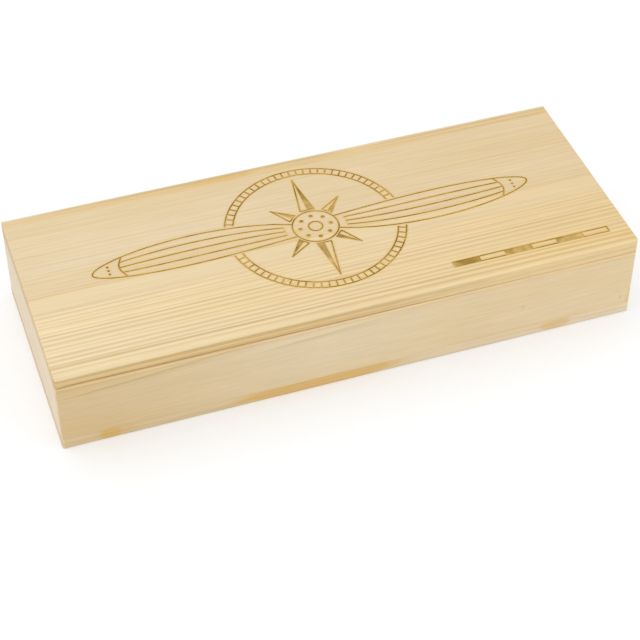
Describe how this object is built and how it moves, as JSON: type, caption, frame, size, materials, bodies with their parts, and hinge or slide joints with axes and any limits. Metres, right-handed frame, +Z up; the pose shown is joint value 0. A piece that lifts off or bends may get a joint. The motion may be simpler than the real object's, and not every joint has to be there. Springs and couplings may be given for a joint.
{
  "type": "model kit box",
  "caption": "Shallow pine storage box with mitred walls, a glued bottom panel and a flat lift-off lid with a propeller and compass drawing burnt into its top.",
  "frame": {"origin": "middle of the underside", "axes": "+X along the box to the right seen from the front, +Y from front to back, +Z up"},
  "size_m": [0.215, 0.085, 0.035],
  "materials": {
    "pine_long_wall": "planed and sanded, unvarnished",
    "pine_end_wall": "planed and sanded, unvarnished",
    "pine_bottom": "planed and sanded, unvarnished",
    "pine_lid_front": "planed and sanded, unvarnished, lines burnt in",
    "pine_lid_back": "planed and sanded, unvarnished, lines burnt in",
    "pine_batten": "planed, unvarnished",
    "steel_pin": "bright drawn wire"
  },
  "bodies": {
    "box": {"front_wall": "pine_long_wall", "back_wall": "pine_long_wall", "left_end_wall": "pine_end_wall", "right_end_wall": "pine_end_wall", "bottom_panel": "pine_bottom", "corner_pins": "steel_pin", "bottom_pins": "steel_pin"},
    "lid": {"lid_front_board": "pine_lid_front", "lid_back_board": "pine_lid_back", "left_lid_batten": "pine_batten", "right_lid_batten": "pine_batten", "batten_pins": "steel_pin"}
  },
  "joints": [
    {"name": "lid_lift", "type": "slide", "parent": "box", "child": "lid", "axis": [0, 0, 1], "range_m": [0, 0.08]}
  ]
}
